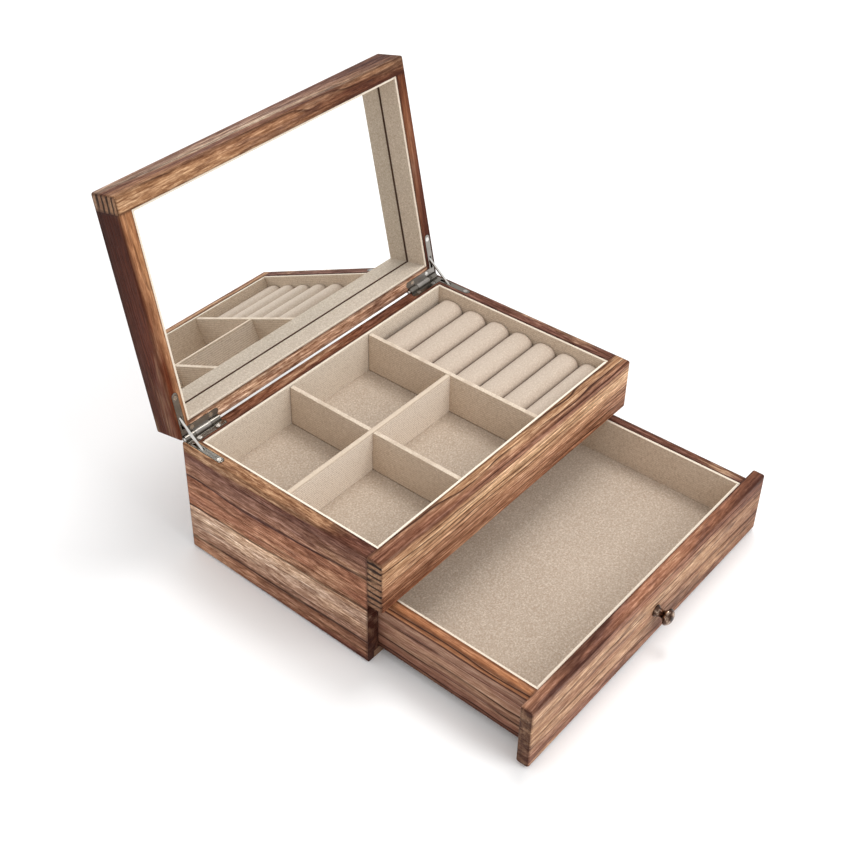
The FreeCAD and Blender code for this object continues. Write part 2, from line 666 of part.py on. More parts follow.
# Knob: turned, with a flared foot, a narrow neck and a rimmed head, held by a screw from inside
# the drawer front
screw_hole = "knob_screw_radius + screw_play"
rod(drawer_front, "y", ("0", "drawer_face", "knob_height"), screw_hole, "drawer_front_thick", cut=True)
rod(drawer_front, "y", ("0", "drawer_front_back - counterbore_depth", "knob_height"),
    "knob_screw_head_radius + drawer_play", "counterbore_depth", cut=True)
knob = piece("drawer_knob", "drawer")
bind(knob, y="drawer_face - drawer_pull", z="knob_height")
turned(knob, (
    (screw_hole, "0"),
    ("knob_foot_radius", "0"),
    ("knob_foot_radius", "-knob_foot_thick"),
    ("(knob_foot_radius + 2 * knob_neck_radius) / 3", "-2 * knob_foot_thick"),
    ("knob_neck_radius", "-knob_neck_reach"),
    ("(knob_head_radius + 2 * knob_neck_radius) / 3", "-(knob_rim_reach + knob_neck_reach) / 2"),
    ("knob_head_radius", "-knob_rim_reach"),
    ("knob_head_radius", "-knob_rim_reach - knob_rim_thick"),
    ("knob_crown_radius", "-knob_length"),
    ("0", "-knob_length"),
    ("0", "-knob_bore_depth"),
    (screw_hole, "-knob_bore_depth"),
))
knob_screw = piece("knob_screw", "drawer")
bind(knob_screw, y="drawer_face - drawer_pull", z="knob_height")
screw_shoulder = "drawer_front_thick - counterbore_depth"
turned(knob_screw, (
    ("0", "screw_play - knob_bore_depth"),
    ("knob_screw_radius", "screw_play - knob_bore_depth"),
    ("knob_screw_radius", screw_shoulder),
    ("knob_screw_head_radius", screw_shoulder),
    ("knob_screw_head_radius", f"{screw_shoulder} + knob_screw_head_thick"),
    ("0", f"{screw_shoulder} + knob_screw_head_thick"),
))

doc.recompute()
for thing in doc.Objects:
    if "Invalid" in thing.State or "Error" in thing.State:
        raise RuntimeError(f"{thing.Label} did not build")
for thing in sub_parts:
    if thing.Shape.isNull() or not thing.Shape.isValid():
        raise RuntimeError(f"{thing.Label} has no valid shape")

os.makedirs("parts", exist_ok=True)
for thing in sub_parts:
    thing.Shape.exportStep(f"parts/{thing.Label}.step")
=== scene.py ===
import bmesh
import bpy
import json
import math
from mathutils import Matrix, Vector, noise


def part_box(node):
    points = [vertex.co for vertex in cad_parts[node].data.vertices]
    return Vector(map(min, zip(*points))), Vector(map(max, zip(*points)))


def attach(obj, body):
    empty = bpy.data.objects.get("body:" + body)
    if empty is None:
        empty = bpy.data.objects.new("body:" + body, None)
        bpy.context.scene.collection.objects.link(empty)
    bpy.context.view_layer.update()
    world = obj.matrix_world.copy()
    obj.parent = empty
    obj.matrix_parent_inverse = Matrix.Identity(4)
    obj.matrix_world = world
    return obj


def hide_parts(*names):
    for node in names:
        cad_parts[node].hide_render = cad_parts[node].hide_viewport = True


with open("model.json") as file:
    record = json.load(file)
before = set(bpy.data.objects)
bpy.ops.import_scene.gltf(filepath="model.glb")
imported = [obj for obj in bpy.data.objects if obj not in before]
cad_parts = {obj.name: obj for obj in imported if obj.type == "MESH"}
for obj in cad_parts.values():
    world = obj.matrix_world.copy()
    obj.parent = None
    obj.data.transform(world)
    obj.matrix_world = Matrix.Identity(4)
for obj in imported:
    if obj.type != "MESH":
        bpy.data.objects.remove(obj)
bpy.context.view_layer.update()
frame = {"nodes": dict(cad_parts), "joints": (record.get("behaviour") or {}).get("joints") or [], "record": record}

# Side walls. Each is one board of soft open-grained wood, torched and wire-brushed so that its growth
# bands stand out, glued behind the ends of the front rail, grooved for the tray floor and rabbeted for
# the base.


def put(tree, kind, inputs=None, **settings):
    """One shader node. An input is a plain value or another node's output."""
    made = tree.nodes.new("ShaderNode" + kind)
    for name, value in settings.items():
        setattr(made, name, value)
    for name, value in (inputs or {}).items():
        if isinstance(value, bpy.types.NodeSocket):
            tree.links.new(value, made.inputs[name])
        else:
            made.inputs[name].default_value = value
    return made


def work_out(tree, operation, *values):
    """A sum of one to three numbers."""
    return put(tree, "Math", dict(enumerate(values)), operation=operation).outputs[0]


def work_out_vector(tree, operation, *values):
    """A sum of one or two vectors; its length where the sum is a single number."""
    made = put(tree, "VectorMath", dict(enumerate(values)), operation=operation)
    return made.outputs["Value" if operation == "LENGTH" else "Vector"]


def spread(tree, value, low, high, start=0.0, end=1.0, smooth=True):
    """A value taken from the range low to high and laid out from start to end, held at both ends."""
    sockets = {"Value": value, "From Min": low, "From Max": high, "To Min": start, "To Max": end}
    kind = "SMOOTHSTEP" if smooth else "LINEAR"
    return put(tree, "MapRange", sockets, interpolation_type=kind).outputs["Result"]


def cloud(tree, place, stretch, detail=3.0, rough=0.55, offset=(0, 0, 0)):
    """Soft noise, finer along the axes that stretch gives a larger number of spots per metre."""
    scaled = work_out_vector(tree, "MULTIPLY", place, stretch)
    moved = work_out_vector(tree, "ADD", scaled, offset)
    sockets = {"Vector": moved, "Scale": 1.0, "Detail": detail, "Roughness": rough}
    return put(tree, "TexNoise", sockets).outputs[0]


def tint(tree, under, over, amount, blend="MIX"):
    """One colour laid over another."""
    sockets = {0: amount, 6: under, 7: over}
    return put(tree, "Mix", sockets, data_type="RGBA", blend_type=blend).outputs[2]


def colour_steps(tree, place, steps):
    """Colours along a scale from 0 to 1, each step a place and a colour."""
    ramp = put(tree, "ValToRGB", {"Fac": place})
    elements = ramp.color_ramp.elements
    while len(elements) < len(steps):
        elements.new(1.0)
    for element, (position, colour) in zip(elements, steps):
        element.position = position
        element.color = colour
    return ramp.outputs["Color"]


def shade(red, green, blue):
    """A colour as a paint chart gives it, 0 to 255, in the renderer's own linear values."""
    linear = []
    for part in (red, green, blue):
        part = part / 255
        linear.append(part / 12.92 if part <= 0.04045 else ((part + 0.055) / 1.055) ** 2.4)
    return (*linear, 1.0)


def start_material(name):
    """A new material, with its node tree and its surface shader."""
    material = bpy.data.materials.new(name)
    material.use_nodes = True
    tree = material.node_tree
    return material, tree, tree.nodes["Principled BSDF"]


def finish_with(node, material):
    """Give a node's solid its finish."""
    mesh = frame["nodes"][node].data
    mesh.materials.clear()
    mesh.materials.append(material)


hinge = [joint for joint in frame["joints"] if joint["name"] == "lid_hinge"][0]
hinge_line = Vector(hinge["pos_m"])
lid_swing = math.radians(hinge["range_deg"][1])
shut_lid = (Matrix.Translation(hinge_line) @ Matrix.Rotation(lid_swing, 4, "X")
            @ Matrix.Translation(-hinge_line))
lid_nodes = frame["record"]["behaviour"]["bodies"]["lid"]


def shut_box(node):
    """Corners of a node with the lid shut, so that lid pieces lie square."""
    turn = shut_lid if node in lid_nodes else Matrix()
    points = [turn @ vertex.co for vertex in frame["nodes"][node].data.vertices]
    low = Vector([min(point[axis] for point in points) for axis in range(3)])
    high = Vector([max(point[axis] for point in points) for axis in range(3)])
    return low, high


def piece_place(tree, node):
    """Place on a piece in metres, lid pieces as if the lid were shut."""
    place = put(tree, "TexCoord").outputs["Object"]
    if node in lid_nodes:
        turned = put(tree, "Mapping", {"Vector": place})
        turned.inputs["Rotation"].default_value = (lid_swing, 0, 0)
        turned.inputs["Location"].default_value = shut_lid.to_translation()
        place = turned.outputs[0]
    return place


def torched_wood(node, grain, pith, steps, growth=0.003, fall=0.0, lines=0.5, streaks=0.4, torch=0.4,
                 brush=0.75, ends=0.35, end_burn=0.0, far_end=0.0, near_end=0.0, seed=0.0):
    """Torched and brushed wood for one board, cut from a log whose heart lies at pith.

    Steps are colours from the board's lowest growth ring to its highest. Growth is the width of a
    ring, fall is how far the rings run out of line along the board and lines is how dark they are.
    Streaks is the strength of the long fine grain, torch is how unevenly the flame has gone over the
    board and brush is how far the wire brush has opened it. Ends is how dark the growth lines are on
    the end grain and end burn is how dark the flame has left it. Far end and near end are how much
    darker the board gets towards the high and the low end of its length.
    """
    material, tree, skin = start_material("torched_" + node)
    low, high = shut_box(node)
    place = piece_place(tree, node)
    along, across = (0, 1) if grain == "X" else (1, 0)
    axes = put(tree, "SeparateXYZ", {0: place}).outputs
    log = put(tree, "CombineXYZ", {0: axes[along], 1: axes[2], 2: axes[across]}).outputs[0]

    # Growth rings about the heart of the log, wandering a little along the board
    ring_wander = 0.012
    heart = Vector((0, low.z + pith[0], (low[across] + high[across]) / 2 + pith[1]))
    flat = work_out_vector(tree, "MULTIPLY", log, (0, 1, 1))
    from_heart = work_out_vector(tree, "SUBTRACT", flat, heart)
    radius = work_out_vector(tree, "LENGTH", from_heart)
    wander = cloud(tree, log, (8, 22, 22), detail=2.0, offset=(seed, 0, 0))
    radius = work_out(tree, "MULTIPLY_ADD", wander, ring_wander, radius)
    from_middle = work_out(tree, "SUBTRACT", axes[along], (low[along] + high[along]) / 2)
    radius = work_out(tree, "MULTIPLY_ADD", from_middle, fall, radius)
    reach = [math.hypot(v - heart.y, w - heart.z)
             for v in (low.z, high.z) for w in (low[across], high[across])]
    usual_wander = 0.005
    rise = spread(tree, radius, min(reach) + usual_wander, max(reach) + usual_wander, smooth=False)
    colour = colour_steps(tree, rise, steps)

    # Broad darker and paler stretches that the flame has left, and smaller stains along the grain
    flame_dark = shade(92, 57, 49)
    flame_pale = shade(226, 186, 146)
    stain_dark = shade(84, 54, 50)
    broad = cloud(tree, log, (10, 60, 60), detail=3.0, rough=0.6, offset=(seed, 3, 7))
    colour = tint(tree, colour, flame_dark, spread(tree, broad, 0.51, 0.66, 0.0, torch))
    colour = tint(tree, colour, flame_pale, spread(tree, broad, 0.47, 0.34, 0.0, torch * 0.8))
    stain = cloud(tree, log, (26, 170, 170), detail=3.0, rough=0.6, offset=(seed, 6, 1))
    colour = tint(tree, colour, stain_dark, spread(tree, stain, 0.52, 0.66, 0.0, torch * 0.9))

    # Burnt ends. Where the wood is burnt it gets redder, and where it is brushed it gets greyer
    darker = (0.42, 0.30, 0.24, 1)
    paler = (1.85, 2.15, 2.40, 1)
    length = spread(tree, axes[along], low[along], high[along], smooth=False)
    colour = tint(tree, colour, darker, spread(tree, length, 0.35, 1.0, 0.0, far_end), "MULTIPLY")
    colour = tint(tree, colour, darker, spread(tree, length, 0.65, 0.0, 0.0, near_end), "MULTIPLY")

    # Long fine grain, then short flecks where the wire brush has opened it
    streak = cloud(tree, log, (9, 780, 780), detail=3.0, rough=0.7, offset=(seed, 4, 8))
    colour = tint(tree, colour, paler, spread(tree, streak, 0.53, 0.60, 0.0, streaks), "MULTIPLY")
    colour = tint(tree, colour, darker, spread(tree, streak, 0.47, 0.41, 0.0, streaks), "MULTIPLY")
    fleck = cloud(tree, log, (110, 950, 950), detail=2.0, rough=0.7, offset=(seed, 2, 6))
    colour = tint(tree, colour, paler, spread(tree, fleck, 0.54, 0.62, 0.0, brush), "MULTIPLY")
    opened = spread(tree, fleck, 0.46, 0.40)
    colour = tint(tree, colour, darker, work_out(tree, "MULTIPLY", opened, brush), "MULTIPLY")

    # Dark growth lines, broken here and there
    line_tone = shade(54, 26, 18)
    line_wander = 0.005
    jitter = cloud(tree, log, (12, 70, 70), detail=2.0, offset=(seed, 1, 2))
    turn = work_out(tree, "DIVIDE", work_out(tree, "MULTIPLY_ADD", jitter, line_wander, radius), growth)
    step = work_out(tree, "FRACT", turn)
    line = work_out(tree, "MULTIPLY", spread(tree, step, 0.66, 0.90), spread(tree, step, 1.0, 0.94))
    broken = cloud(tree, log, (9, 130, 130), detail=2.0, offset=(seed, 5, 5))
    side_line = work_out(tree, "MULTIPLY", line, spread(tree, broken, 0.42, 0.56))
    colour = tint(tree, colour, line_tone, work_out(tree, "MULTIPLY", side_line, lines))

    # End grain: tan wood between wide, dark, gently curved growth lines
    end_tan = shade(146, 110, 84)
    end_dark = shade(26, 12, 7)
    scorch_tone = shade(58, 28, 20)
    end_ring = 0.0046
    end_wander = 0.006
    facing = put(tree, "TexCoord").outputs["Normal"]
    if node in lid_nodes:
        turned = put(tree, "Mapping", {"Vector": facing}, vector_type="VECTOR")
        turned.inputs["Rotation"].default_value = (lid_swing, 0, 0)
        facing = turned.outputs[0]
    end_on = work_out(tree, "ABSOLUTE", put(tree, "SeparateXYZ", {0: facing}).outputs[along])
    end_on = spread(tree, end_on, 0.62, 0.80)
    bend = work_out_vector(tree, "LENGTH", work_out_vector(tree, "MULTIPLY", from_heart, (0, 1, 0.25)))
    uneven = cloud(tree, log, (0, 160, 40), detail=2.0, offset=(seed, 7, 3))
    bend = work_out(tree, "MULTIPLY_ADD", uneven, end_wander, bend)
    end_step = work_out(tree, "FRACT", work_out(tree, "DIVIDE", bend, end_ring))
    end_line = work_out(tree, "MULTIPLY", spread(tree, end_step, 0.46, 0.64),
                        spread(tree, end_step, 1.0, 0.88))
    end_line = work_out(tree, "MULTIPLY", end_line, spread(tree, uneven, 0.30, 0.50, 0.45, 1.0))
    grain_end = tint(tree, colour, end_tan, ends * 0.7)
    grain_end = tint(tree, grain_end, end_dark, work_out(tree, "MULTIPLY", end_line, ends))
    scorch = work_out(tree, "MULTIPLY", spread(tree, stain, 0.30, 0.62, 0.6, 1.0), end_burn)
    grain_end = tint(tree, grain_end, scorch_tone, scorch)
    colour = tint(tree, colour, grain_end, end_on)

    # Edges burnt a little darker
    edge_tone = shade(54, 28, 21)
    edge_wander = 0.003
    edge_burn = 0.5
    inside = work_out_vector(tree, "MINIMUM", work_out_vector(tree, "SUBTRACT", place, low),
                             work_out_vector(tree, "SUBTRACT", high, place))
    gaps = put(tree, "SeparateXYZ", {0: inside}).outputs
    nearest = work_out(tree, "MINIMUM", gaps[0], gaps[1])
    further = work_out(tree, "MAXIMUM", gaps[0], gaps[1])
    to_edge = work_out(tree, "MAXIMUM", nearest, work_out(tree, "MINIMUM", further, gaps[2]))
    to_edge = work_out(tree, "MULTIPLY_ADD", broad, -edge_wander, to_edge)
    burnt = spread(tree, to_edge, 0.0005, -0.0012)
    colour = tint(tree, colour, edge_tone, work_out(tree, "MULTIPLY", burnt, edge_burn))

    # Relief and roughness, where the brush has gone deepest and along the growth lines
    brush_depth = 0.6
    flat_rough = 0.50
    rougher = 0.12
    tree.links.new(colour, skin.inputs["Base Color"])
    dip = work_out(tree, "MULTIPLY_ADD", opened, brush_depth, side_line)
    tree.links.new(work_out(tree, "MULTIPLY_ADD", dip, rougher, flat_rough), skin.inputs["Roughness"])
    relief = put(tree, "Bump", {"Height": dip, "Strength": 0.6, "Distance": 0.0003}, invert=True)
    tree.links.new(relief.outputs[0], skin.inputs["Normal"])
    skin.inputs["Specular IOR Level"].default_value = 0.08
    finish_with(node, material)


wall_bands = [
    (0.00, shade(98, 55, 41)), (0.03, shade(124, 77, 57)), (0.07, shade(178, 130, 100)),
    (0.148, shade(142, 96, 71)), (0.154, shade(52, 29, 21)), (0.162, shade(60, 35, 27)),
    (0.176, shade(159, 119, 96)), (0.25, shade(172, 135, 111)), (0.39, shade(198, 165, 141)),
    (0.466, shade(198, 160, 132)), (0.472, shade(58, 31, 23)), (0.48, shade(64, 37, 27)),
    (0.492, shade(150, 98, 72)), (0.56, shade(162, 109, 83)), (0.66, shade(168, 116, 87)),
    (0.742, shade(152, 100, 75)), (0.748, shade(56, 31, 25)), (0.756, shade(77, 46, 39)),
    (0.772, shade(156, 112, 89)), (0.86, shade(138, 97, 78)), (0.93, shade(120, 81, 66)),
    (0.965, shade(112, 70, 54)), (0.982, shade(160, 118, 86)),
]
torched_wood("left_wall", "Y", (-0.32, 0.01), wall_bands, growth=0.0062, fall=0.045, lines=0.5,
             streaks=0.25, torch=0.32, brush=0.75, ends=0.12, end_burn=1.0, near_end=0.45)
right_bands = [(0.0, shade(120, 76, 56)), (0.5, shade(168, 120, 92)), (0.8, shade(126, 82, 62)),
               (0.96, shade(96, 60, 46)), (1.0, shade(104, 66, 52))]
torched_wood("right_wall", "Y", (-0.32, -0.01), right_bands, fall=-0.03, ends=0.12, end_burn=0.9,
             seed=4.0)

# Front rail. The upper front board, which covers the ends of the walls, so that its end grain shows at
# both sides. Its growth lines run straight along the front.
rail_bands = [
    (0.00, shade(174, 111, 72)), (0.07, shade(149, 98, 70)), (0.20, shade(168, 119, 89)),
    (0.34, shade(182, 133, 102)), (0.50, shade(202, 155, 119)), (0.66, shade(216, 174, 134)),
    (0.80, shade(210, 165, 128)), (0.84, shade(150, 104, 80)), (0.90, shade(146, 99, 76)),
    (0.94, shade(152, 106, 79)), (1.00, shade(182, 139, 103)),
]
torched_wood("front_rail", "X", (-0.10, -0.08), rail_bands, growth=0.0030, fall=0.008, lines=0.95,
             streaks=0.66, torch=0.25, brush=0.45, ends=0.97, end_burn=0.15, far_end=0.25, near_end=0.5,
             seed=2.0)

# Back wall. A plain board of the same wood, torched like the rest and glued between the side walls. The
# hinges' arms along the back are let into its top edge.
back_bands = [(0.0, shade(128, 84, 62)), (0.5, shade(170, 122, 92)), (0.9, shade(124, 80, 58)),
              (1.0, shade(118, 74, 52))]
torched_wood("back_wall", "X", (-0.22, -0.01), back_bands, growth=0.0046, fall=0.02, far_end=0.5,
             seed=6.0)

# Base panel and tray floor. Thin plywood let into rabbets and grooves of the walls, the base stained
# brown and the tray floor, which the lining covers, left bare.


def bare_plywood(node, stain=0.0):
    """Plain rotary-cut plywood with thin plies at its edges, stained brown or left as it is."""
    material, tree, skin = start_material("plywood_" + node)
    place = piece_place(tree, node)
    dark_figure = shade(150, 112, 80)
    pale_figure = shade(206, 172, 132)
    fibre_tone = shade(138, 98, 66)
    ply_tone = shade(128, 90, 60)
    stain_tone = shade(96, 60, 44)
    ply_pair = 0.0022
    figure = cloud(tree, place, (5, 60, 60), detail=4.0)
    colour = colour_steps(tree, figure, [(0.3, dark_figure), (0.7, pale_figure)])
    fibre = spread(tree, cloud(tree, place, (30, 900, 900), detail=2.0), 0.4, 0.7)
    colour = tint(tree, colour, fibre_tone, work_out(tree, "MULTIPLY", fibre, 0.4))
    height = put(tree, "SeparateXYZ", {0: place}).outputs[2]
    ply = work_out(tree, "FRACT", work_out(tree, "DIVIDE", height, ply_pair))
    colour = tint(tree, colour, ply_tone, spread(tree, ply, 0.5, 0.6, 0.0, 0.35))
    colour = tint(tree, colour, stain_tone, stain)
    tree.links.new(colour, skin.inputs["Base Color"])
    relief = put(tree, "Bump", {"Height": fibre, "Strength": 0.3, "Distance": 0.0001}, invert=True)
    tree.links.new(relief.outputs[0], skin.inputs["Normal"])
    skin.inputs["Roughness"].default_value = 0.7
    finish_with(node, material)


bare_plywood("base_panel", stain=0.7)
bare_plywood("tray_floor")

# Tray lining and dividers. Card boards wrapped in fine slubbed linen and glued in place, with a pale line along
# each top edge that is partly the fold of the linen and partly painted highlight, stronger on the left and front
# boards.


def linen(name, node, tone, ribs=0.0, flecks=1.0):
    """Fine linen on card, with ribs where the weave is seen across and flecks of yarn in it."""
    material, tree, skin = start_material(name)
    place = piece_place(tree, node)
    height = put(tree, "SeparateXYZ", {0: place}).outputs[2]
    dark_yarn = shade(158, 132, 110)
    light_yarn = shade(240, 226, 210)
    rib_shadow = shade(166, 140, 116)
    rib_pitch = 0.0016
    rib_waver = 0.0022
    waver = cloud(tree, place, (90, 90, 90), detail=2.0)
    rib = work_out(tree, "DIVIDE", work_out(tree, "MULTIPLY_ADD", waver, rib_waver, height), rib_pitch)
    rib = work_out(tree, "SINE", work_out(tree, "MULTIPLY", rib, 2 * math.pi))
    yarn = cloud(tree, place, (900, 900, 900), detail=2.0, rough=0.7)
    patch = cloud(tree, place, (14, 14, 14), detail=2.0)
    faded = [part + 5 for part in tone]
    colour = colour_steps(tree, patch, [(0.3, shade(*tone)), (0.7, shade(*faded))])
    dark = spread(tree, yarn, 0.50, 0.32, 0.0, 0.42 * flecks)
    colour = tint(tree, colour, dark_yarn, dark)
    light = spread(tree, yarn, 0.50, 0.68, 0.0, 0.40 * flecks)
    colour = tint(tree, colour, light_yarn, light)
    colour = tint(tree, colour, rib_shadow, spread(tree, rib, 0.2, -1.0, 0.0, ribs))
    tree.links.new(colour, skin.inputs["Base Color"])
    raised = work_out(tree, "MULTIPLY_ADD", rib, ribs * 0.3, yarn)
    relief = put(tree, "Bump", {"Height": raised, "Strength": 0.5, "Distance": 0.0004})
    tree.links.new(relief.outputs[0], skin.inputs["Normal"])
    skin.inputs["Roughness"].default_value = 0.92
    skin.inputs["Sheen Weight"].default_value = 0.12
    skin.inputs["Sheen Roughness"].default_value = 0.5
    skin.inputs["Specular IOR Level"].default_value = 0.2
    return material


def edge_line(material, node, axis, begin, end, tone, share):
    """A thin line of another tone along one edge, between two places on an axis of the piece."""
    tree = material.node_tree
    skin = tree.nodes["Principled BSDF"]
    under = skin.inputs["Base Color"].links[0].from_socket
    spot = put(tree, "SeparateXYZ", {0: piece_place(tree, node)}).outputs[axis]
    amount = spread(tree, spot, begin, end, 0.0, share)
    tree.links.new(tint(tree, under, shade(*tone), amount), skin.inputs["Base Color"])


def soften(node, rounding):
    """Round a solid's sharp edges a little, as wrapped or worn edges are."""
    shown = frame["nodes"][node]
    weld = shown.modifiers.new("one_skin", "WELD")
    weld.merge_threshold = 0.00001
    bevel = shown.modifiers.new("soft_edges", "BEVEL")
    bevel.width = rounding
    bevel.segments = 3
    bevel.limit_method = "ANGLE"
    bevel.angle_limit = math.radians(50)
    even = shown.modifiers.new("even_shading", "WEIGHTED_NORMAL")
    even.keep_sharp = False


# The one linen is set in several tones. The floor tone is darker, as painted shade. The lit and bright tones are
# lighter, as painted light on boards that face the front lamp. The fold and highlight tone is a pale line along
# top edges, partly the fold of the linen and partly painted highlight. The crease shade is painted shade in
# creases, at the foot of boards and at the mirror's edge.
shaded_floor_tone = (184, 168, 151)
board_tone = (208, 190, 169)
painted_lit_tone = (216, 204, 188)
painted_bright_tone = (233, 221, 206)
fold_and_highlight_tone = (248, 238, 221)
painted_crease_shade = (96, 68, 52)
board_rounding = 0.0006
divider_rounding = 0.0009
tray_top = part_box("tray_lining_left")[1].z
tray_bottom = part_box("tray_lining_left")[0].z
for node, share in (("left", 0.9), ("front", 0.9), ("right", 0.35), ("back", 0.35)):
    node = "tray_lining_" + node
    # The back board faces the front lamp and is painted in a lighter tone: painted light.
    tone = painted_lit_tone if node == "tray_lining_back" else board_tone
    cloth = linen(node + "_linen", node, tone, ribs=0.3)
    edge_line(cloth, node, 2, tray_top - 0.0008, tray_top - 0.0002, fold_and_highlight_tone, share)
    finish_with(node, cloth)
    soften(node, board_rounding)
finish_with("tray_floor_lining", linen("floor_linen", "tray_floor_lining", shaded_floor_tone))
divider_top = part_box("ring_divider")[1].z
for node in ("ring_divider", "long_divider", "cross_divider"):
    # The cross divider faces the front lamp and is painted in the bright tone as painted light. Its top strip
    # keeps the usual tone.
    tone = painted_bright_tone if node == "cross_divider" else board_tone
    cloth = linen(node + "_linen", node, tone, ribs=0.4)
    if node == "cross_divider":
        edge_line(cloth, node, 2, divider_top - 0.0012, divider_top - 0.0004, board_tone, 0.9)
    else:
        edge_line(cloth, node, 2, divider_top - 0.0010, divider_top, fold_and_highlight_tone, 0.15)
        # Painted shade along the foot of the long and ring dividers, where they meet the floor, and at their back
        # end, where they meet the back lining.
        edge_line(cloth, node, 2, tray_bottom + 0.0010, tray_bottom + 0.0003, painted_crease_shade, 0.9)
        back_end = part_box(node)[1].y
        edge_line(cloth, node, 1, back_end - 0.0010, back_end - 0.0004, painted_crease_shade, 0.6)
    finish_with(node, cloth)
    soften(node, divider_rounding)

# Ring rolls. Foam rods wrapped tightly in the same linen and pressed into the bay side by side. Each is
# flat underneath, round on top and drawn in where the linen is tucked under at its ends.
# The rolls' linen is painted darker than the boards: painted shade.
shaded_roll_tone = (191, 175, 159)
roll_linen = linen("roll_linen", "ring_roll_1", shaded_roll_tone, flecks=0.6)
roll_nodes = [node for node in frame["nodes"] if node.startswith("ring_roll_")]
roll_low, roll_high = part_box(roll_nodes[0])
crease_depth = 0.30
crease = roll_high.z - crease_depth * (roll_high.y - roll_low.y)
# Each roll is painted darker below the height of the crease between rolls: painted shade in the creases.
edge_line(roll_linen, "ring_roll_1", 2, crease + 0.0012, crease - 0.0004, painted_crease_shade, 0.6)
steps_around = 36
tuck_length = 0.0026
tuck_curve = 2.2
tuck_narrower = 0.14
tuck_lower = 0.07
side_room = 0.985
side_squareness = 0.74
foot_curve = 1.7
lean_size = 0.0002
lean_waves = 7
ripple_size = 0.00012
ripple_waves = 22


def add_piece(name, shape, material):
    """A smooth object made from a finished shape."""
    bmesh.ops.recalc_face_normals(shape, faces=shape.faces)
    mesh = bpy.data.meshes.new(name)
    shape.to_mesh(mesh)
    shape.free()
    for face in mesh.polygons:
        face.use_smooth = True
    mesh.materials.append(material)
    piece = bpy.data.objects.new(name, mesh)
    bpy.context.scene.collection.objects.link(piece)
    return piece


for number, node in enumerate(sorted(roll_nodes)):
    low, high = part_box(node)
    length = high.x - low.x
    half = (high.y - low.y) / 2
    tall = high.z - low.z
    shell = bmesh.new()
    rows = []
    stations = [0.0, 0.003, 0.008, 0.016, 0.028, 0.05, 0.10, 0.20, 0.34, 0.5]
    stations += [1 - place for place in reversed(stations[:-1])]
    for place in stations:
        end = min(place, 1 - place) * length
        tuck = max(0.0, 1 - end / tuck_length) ** tuck_curve
        pinch = 1 - tuck_narrower * tuck
        lean = lean_size * noise.noise(Vector((place * lean_waves, number * 3.1, 0)))
        row = []
        for step in range(steps_around):
            angle = 2 * math.pi * step / steps_around
            side = math.cos(angle)
            up = math.sin(angle)
            round_y = half * side_room * math.copysign(abs(side) ** side_squareness, side) * pinch
            if up >= 0:
                round_z = (tall - half) + half * up
            else:
                round_z = (tall - half) * (1 - abs(up) ** foot_curve)
            crown = low.z + tall * 0.5 + (round_z - tall * 0.5) * (1 - tuck_lower * tuck)
            ripple_place = Vector((place * ripple_waves, angle * 1.3, number * 5.0))
            ripple = ripple_size * noise.noise(ripple_place)
            spot = Vector((low.x + place * length, (low.y + high.y) / 2 + round_y + lean,
                           max(low.z, crown + ripple)))
            row.append(shell.verts.new(spot))
        rows.append(row)
    for left, right in zip(rows, rows[1:]):
        for step in range(steps_around):
            after = (step + 1) % steps_around
            shell.faces.new((left[step], left[after], right[after], right[step]))
    shell.faces.new(rows[0])
    shell.faces.new(list(reversed(rows[-1])))
    roll = add_piece("ring_cushion_" + str(number + 1), shell, roll_linen)
    smooth = roll.modifiers.new("round", "SUBSURF")
    smooth.levels = 1
    smooth.render_levels = 1
    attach(roll, "case")
    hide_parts(node)

# Lid frame and panel. A front bar over the ends of two side bars, a back bar between them and a panel
# let into rabbets on top, all torched like the case.
lid_bands = [
    (0.00, shade(167, 124, 89)), (0.14, shade(154, 110, 79)), (0.34, shade(115, 72, 53)),
    (0.42, shade(137, 96, 72)), (0.52, shade(188, 164, 139)), (0.66, shade(174, 140, 116)),
    (0.85, shade(151, 115, 95)), (1.00, shade(124, 86, 72)),
]
back_bar_bands = [(0.0, shade(184, 143, 115)), (0.5, shade(154, 109, 84)), (1.0, shade(128, 88, 68))]
side_bands = [
    (0.00, shade(212, 160, 115)), (0.07, shade(187, 136, 98)), (0.16, shade(95, 46, 26)),
    (0.60, shade(84, 37, 20)), (1.00, shade(67, 31, 17)),
]
rim_bands = [
    (0.00, shade(159, 107, 75)), (0.07, shade(129, 80, 56)), (0.16, shade(98, 52, 37)),
    (1.00, shade(70, 38, 29)),
]
torched_wood("lid_front_bar", "X", (-0.12, 0.05), lid_bands, growth=0.0044, fall=0.07, lines=0.7,
             streaks=0.35, torch=0.5, brush=0.55, ends=0.9, far_end=1.0, near_end=0.35, seed=9.0)
torched_wood("lid_back_bar", "X", (-0.16, 0.02), back_bar_bands, growth=0.004, fall=0.02, lines=0.4,
             seed=11.0)
torched_wood("lid_left_bar", "Y", (-0.09, 0.03), side_bands, fall=0.03, lines=0.4, streaks=0.25,
             torch=0.2, brush=0.35, near_end=0.85, seed=13.0)
torched_wood("lid_right_bar", "Y", (-0.09, -0.03), rim_bands, fall=0.02, brush=0.3, far_end=1.0,
             near_end=1.0, seed=15.0)
torched_wood("lid_panel", "X", (-0.14, 0.03), wall_bands, growth=0.006, fall=0.03, lines=0.4, seed=17.0)

